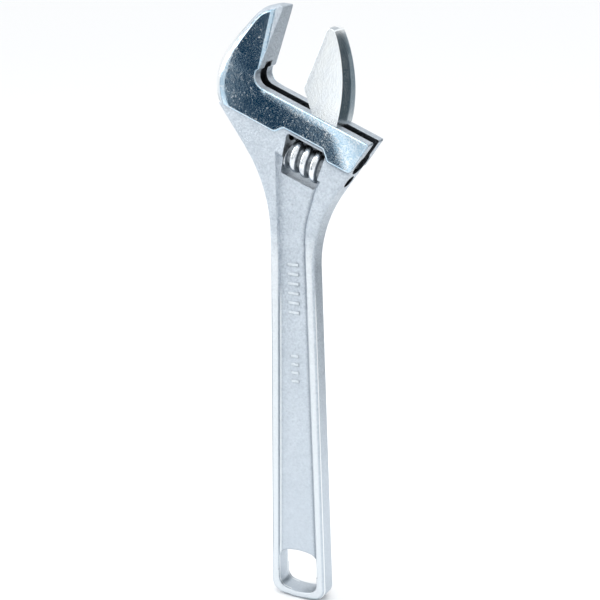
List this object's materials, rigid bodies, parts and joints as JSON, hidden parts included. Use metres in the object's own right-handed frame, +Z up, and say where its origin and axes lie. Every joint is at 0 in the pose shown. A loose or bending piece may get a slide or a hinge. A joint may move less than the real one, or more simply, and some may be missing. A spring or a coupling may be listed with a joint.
{
  "type": "adjustable wrench",
  "caption": "Adjustable wrench with an angled head, a sliding jaw driven by a thumb worm, and a flat handle with recessed panels and a hanging hole.",
  "frame": {"origin": "centre of the bounding box's bottom: under the handle's end, at mid thickness", "axes": "+Z up the wrench's length, from the handle's end to the jaws; +Y through the thickness, from the front (-Y) to the back; +X across, towards the side the jaws open to"},
  "size_m": [0.0678, 0.0146, 0.25],
  "materials": {
    "body_chrome": "satin, polished on the head",
    "jaw_chrome": "satin, polished faces",
    "worm_chrome": "polished",
    "pin_steel": "turned",
    "spring_steel": "drawn wire"
  },
  "bodies": {
    "root": {"body": "body_chrome", "worm_pin": "pin_steel", "worm_spring": "spring_steel"},
    "jaw": {"movable_jaw": "jaw_chrome"},
    "worm": {"adjusting_worm": "worm_chrome"}
  },
  "joints": [
    {"name": "jaw_slide", "type": "slide", "parent": "root", "child": "jaw", "axis": [0.9239, 0, -0.3827], "range_m": [-0.0198, 0.01]},
    {"name": "worm_spin", "type": "hinge", "parent": "root", "child": "worm", "pos_m": [0.00551, 0, 0.19004], "axis": [0.9239, 0, -0.3827], "range_deg": [-810, 1600]}
  ],
  "couplings": [
    {"joint": "worm_spin", "follows": "jaw_slide", "rad_per_m": -1396.3}
  ]
}
